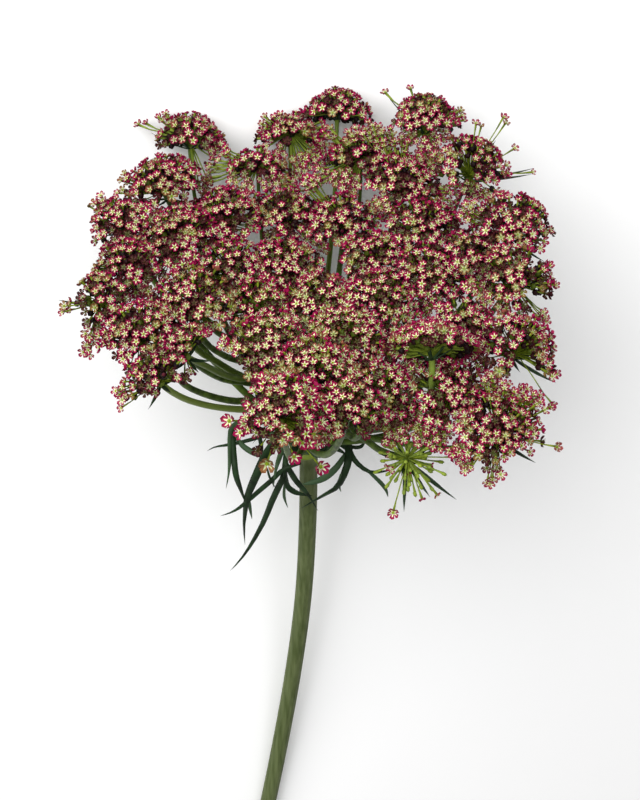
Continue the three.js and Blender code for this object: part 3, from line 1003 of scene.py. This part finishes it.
# stem with fine ribs, and the receptacle at its top
stemLook = {
    # mm from the neck
    "route": [(1, 0, 0), (0.6, -31, -8), (-0.9, -62.5, -14.1), (-4.2, -94, -18.3), (-8.8, -126, -20.9),
              (-14.2, -158, -22)],
    "radius": 2.5,
    "ribs": 11,
    "ribSides": 4,
    "groove": 0.05,
    "steps": 60,
    "aheadStep": 0.005,        # share of the way, to read its direction
    "flare": 0.25,
    "flareEnd": 0.03,          # share of the way
    "collar": (0.035, 0.018),  # where the pale collar lies, and its reach, as shares
    "receptacle": 4.3,
    "receptacleFlat": 0.8,
    # mm: reach, half height and depth below the neck
    "sheath": (3.9, 1.7, 3.6),
    "roundSides": 28,
    "receptacleRows": 16,
    "sheathRows": 8,
}
stemTube = straightTube(stemLook["ribs"] * stemLook["ribSides"], stemLook["steps"])


def addStem():
    bm = newPiece("tone")
    tone = layerOf(bm, "tone")
    route = smoothRoute([flowerFrame @ (Vector(point) * mm) for point in stemLook["route"]])
    middle, half = stemLook["collar"]
    for vertex in addCopy(bm, stemTube):
        share = vertex.co.z
        ahead = aheadOn(route, share, stemLook["aheadStep"])
        across = ahead.cross(Vector((0, 0, 1))).normalized()
        raised = across.cross(ahead)
        turn = atan2(vertex.co.y, vertex.co.x)
        rib = 1 - stemLook["groove"] * (0.5 + 0.5 * cos(turn * stemLook["ribs"]))
        flare = 1 + stemLook["flare"] * max(0, 1 - share / stemLook["flareEnd"])
        width = stemLook["radius"] * mm * rib * flare
        vertex.co = route(share) + (across * cos(turn) + raised * sin(turn)) * width
        vertex[tone] = max(0, 1 - abs(share - middle) / half)
    finishPiece(bm, "stem", stemSkin, ["stem_with_rays"])


def addReceptacle():
    bm = newPiece("tone")
    tone = layerOf(bm, "tone")
    addBall(bm, stemLook["roundSides"], stemLook["receptacleRows"], stemLook["receptacle"] * mm)
    bmesh.ops.scale(bm, verts=bm.verts, vec=(1, 1, stemLook["receptacleFlat"]))
    reach, half, below = stemLook["sheath"]
    sheath = addBall(bm, stemLook["roundSides"], stemLook["sheathRows"])
    bmesh.ops.scale(bm, verts=sheath, vec=(reach * mm, reach * mm, half * mm))
    bmesh.ops.translate(bm, verts=sheath, vec=(0, 0, -below * mm))
    for vertex in sheath:
        vertex[tone] = 1
    bmesh.ops.transform(bm, matrix=headFrame, verts=bm.verts)
    finishPiece(bm, "receptacle", raySkin, ["stem_with_rays"])


addStem()
addReceptacle()
print("stem done")

# bracts below the umbel
bractLook = {
    "sides": 6,
    "steps": 14,
    "flat": 0.35,
    "power": 6,       # more narrows it later
    "litLobe": 0.5,  # how much of the pale colour, painted light, every other lobe gets
    "front": 3,       # mm that a bract starts nearer than the neck
    "top": 440,       # pixels down the picture to its start, and to its bend
    "bend": 469,
    "rise": 0.117,    # mm nearer for each pixel down to the bend
    "fall": 0.32,     # and farther for each pixel below it
}
# each bract is a rib with its lobes: half their width in mm, and places in the picture
bractRoutes = {
    1: [(0.5, [(300, 446), (275, 433), (260, 437), (242, 442), (227, 445), (215, 447), (207, 451)]),
        (0.85, [(300, 446), (262, 430), (238, 424), (231, 432), (230, 452), (229, 471), (226, 489)]),
        (0.8, [(233, 430), (234, 456), (236, 475), (241, 490), (247, 506)])],
    2: [(1.1, [(300, 447), (279, 433), (272, 445), (265, 456), (259, 469), (252, 485), (247, 498),
               (245, 513), (244, 528), (245, 545)]),
        (0.75, [(234, 434), (241, 444), (250, 451), (260, 455), (270, 455), (277, 448)]),
        (0.55, [(259, 434), (261, 444), (263, 455)]),
        (0.45, [(249, 500), (250, 508), (252, 519)]),
        (0.65, [(301, 463), (284, 469), (272, 480), (259, 491), (243, 505), (232, 512), (220, 516)])],
    3: [(0.85, [(300, 448), (287, 452), (284, 475), (279, 486), (272, 501), (264, 521), (252, 543),
                (241, 559), (230, 571)]),
        (0.7, [(288, 440), (285, 443), (280, 456), (276, 469), (273, 488)]),
        (0.75, [(285, 470), (287, 485), (293, 491), (301, 494), (313, 496)]),
        (0.4, [(285, 482), (284, 493), (285, 500), (288, 508)]),
        (0.3, [(267, 468), (270, 478), (276, 489)])],
    4: [(0.75, [(300, 448), (285, 459), (290, 471), (297, 482), (305, 491), (311, 499), (318, 511)]),
        (0.55, [(306, 452), (318, 456), (326, 453), (330, 444), (334, 438)])],
    5: [(1, [(306, 446), (325, 436), (339, 428), (347, 440), (349, 454), (347, 466), (342, 479),
             (336, 488), (324, 495), (312, 502), (300, 509)]),
        (0.9, [(345, 455), (336, 468), (324, 478), (310, 483), (302, 484)]),
        (0.7, [(320, 451), (330, 447), (339, 450), (348, 456)]),
        (0.4, [(341, 474), (339, 484), (341, 492)])],
    6: [(0.7, [(306, 446), (330, 440), (348, 449), (352, 456), (358, 464), (370, 472), (386, 471),
               (396, 468)]),
        (0.55, [(368, 471), (380, 482), (386, 490), (388, 497)]),
        (0.5, [(346, 444), (352, 447), (360, 447), (364, 443), (366, 438)])],
}
bractTube = straightTube(bractLook["sides"], bractLook["steps"])


def bractPoint(x, y):
    nearer = bractLook["front"] + (min(y, bractLook["bend"]) - bractLook["top"]) * bractLook["rise"]
    return pointInView(x, y, neck, nearer - max(0, y - bractLook["bend"]) * bractLook["fall"])


def finishBract(bm, number):
    finishPiece(bm, "bract_leaf_%02d" % number, bractSkin, ["bract_%02d" % number])


def addBract(number, routes):
    bm = newPiece("tone")
    for i, (width, places) in enumerate(routes):
        points = [bractPoint(x, y) for x, y in places]
        side = (points[-1] - points[0]).cross(toCamera).normalized()
        taper = pointed(width, bractLook["power"])
        # every other lobe is paler, as if lit: painted light
        tone = bractLook["litLobe"] * (i % 2)
        layTube(bm, bractTube, smoothRoute(points), taper, side, bractLook["flat"], tone)
    finishBract(bm, number)


for number, routes in bractRoutes.items():
    addBract(number, routes)

# the two bracts behind the neck
backBractLook = {
    "width": 0.8,
    "seat": 4.7,        # mm from the neck
    "seatAngle": 112,   # degrees from the umbel's axis
    "leaveAngle": 78,
    # clock in degrees, out and hang in mm, swing in degrees
    "rows": {7: (52, 13, 20, 10), 8: (128, 13, 20, -10)},
    # the side of each lobe, and where it leaves the rib
    "lobes": ((1, 0.3), (-1, 0.5), (1, 0.6)),
    "lobeWidth": 0.6,
    "lobeAhead": 0.5,   # shares of the hang
    "lobeAside": 0.3,
    "lobeKnee": 0.22,
    "aheadStep": 0.02,  # share of the way, to read the rib's direction
}


def addBackBract(number, row):
    look, flat = backBractLook, bractLook["flat"]
    clock, out, hang, swing = row
    bm = newPiece("tone")
    seat = neck + outward(clock, look["seatAngle"]) * look["seat"] * mm
    knee = seat + outward(clock, look["leaveAngle"]) * out * mm
    tip = seat + outward(clock + swing, 90) * out * mm + outward(0, 180) * hang * mm
    rib = bezier([seat, knee, tip])
    side = outward(clock + 90, 90)
    layTube(bm, bractTube, rib, pointed(look["width"]), side, flat)
    for hand, share in look["lobes"]:
        fork = rib(share)
        ahead = (rib(share + look["aheadStep"]) - fork).normalized()
        knee = fork + (ahead + side * hand) * hang * look["lobeKnee"] * mm
        tip = fork + (ahead * look["lobeAhead"] + side * hand * look["lobeAside"]) * hang * mm
        layTube(bm, bractTube, bezier([fork, knee, tip]), pointed(look["lobeWidth"]), side, flat)
    finishBract(bm, number)


for number, row in backBractLook["rows"].items():
    addBackBract(number, row)
print("bracts done")

# floor and light
studio = {
    "floor": colour(252, 252, 252),
    "floorReach": 3,  # m
    "floorRoughness": 0.9,
    "world": 0.34,
    "key": 16,
    # m right of the neck, towards the camera and up
    "keyPlace": (-0.4, 0.95, 0.25),
    "fill": 3.5,
    "fillPlace": (0.4, 1, 0),
    "lightSize": 0.9,
}


def addArea(name):
    data = bpy.data.lights.new(name, "AREA")
    data.energy = studio[name]
    data.size = studio["lightSize"]
    light = addObject(name, data)
    right, near, above = studio[name + "Place"]
    light.location = neck + viewRight * right + toCamera * near + viewUp * above
    light.rotation_euler = (light.location - neck).to_track_quat("Z", "Y").to_euler()


def addFloor():
    bm = bmesh.new()
    bmesh.ops.create_grid(bm, x_segments=1, y_segments=1, size=studio["floorReach"])
    floor = addObject("floor", meshFrom(bm, "floor"))
    material = bpy.data.materials.new("floor")
    material.use_nodes = True
    shader = material.node_tree.nodes["Principled BSDF"]
    setInputs(shader, {"Base Color": studio["floor"], "Roughness": studio["floorRoughness"]})
    floor.data.materials.append(material)


def addWorld():
    world = bpy.data.worlds.new("studio")
    world.use_nodes = True
    setInputs(world.node_tree.nodes["Background"], {"Color": grey(1), "Strength": studio["world"]})
    scene = bpy.context.scene
    scene.world = world
    scene.view_settings.view_transform = "Standard"


addFloor()
addWorld()
addArea("key")
addArea("fill")
print("studio done")
